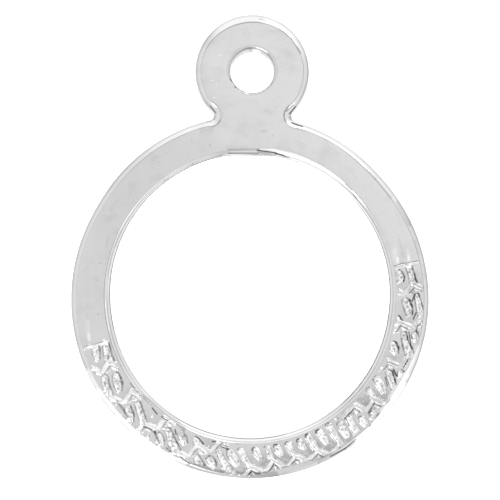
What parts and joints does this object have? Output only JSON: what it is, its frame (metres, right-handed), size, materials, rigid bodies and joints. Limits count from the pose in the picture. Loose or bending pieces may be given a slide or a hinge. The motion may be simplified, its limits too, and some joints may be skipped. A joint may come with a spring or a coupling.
{
  "type": "ring pendant",
  "caption": "Flat open ring pendant with a pierced round eyelet on a short neck and raised stems and drops over the lower half of its front.",
  "frame": {"origin": "middle of the bounding box on the flat back, which lies on z = 0", "axes": "+Y from the ring to the eyelet, +Z from the back to the front with the relief, +X to the right seen from the front"},
  "size_m": [0.016, 0.0208, 0.0012],
  "materials": {
    "polished_silver": "cast sterling silver, hand polished, with faint smudges and darker grooves in the relief"
  },
  "bodies": {
    "root": {"ring_pendant": "polished_silver"}
  },
  "joints": []
}
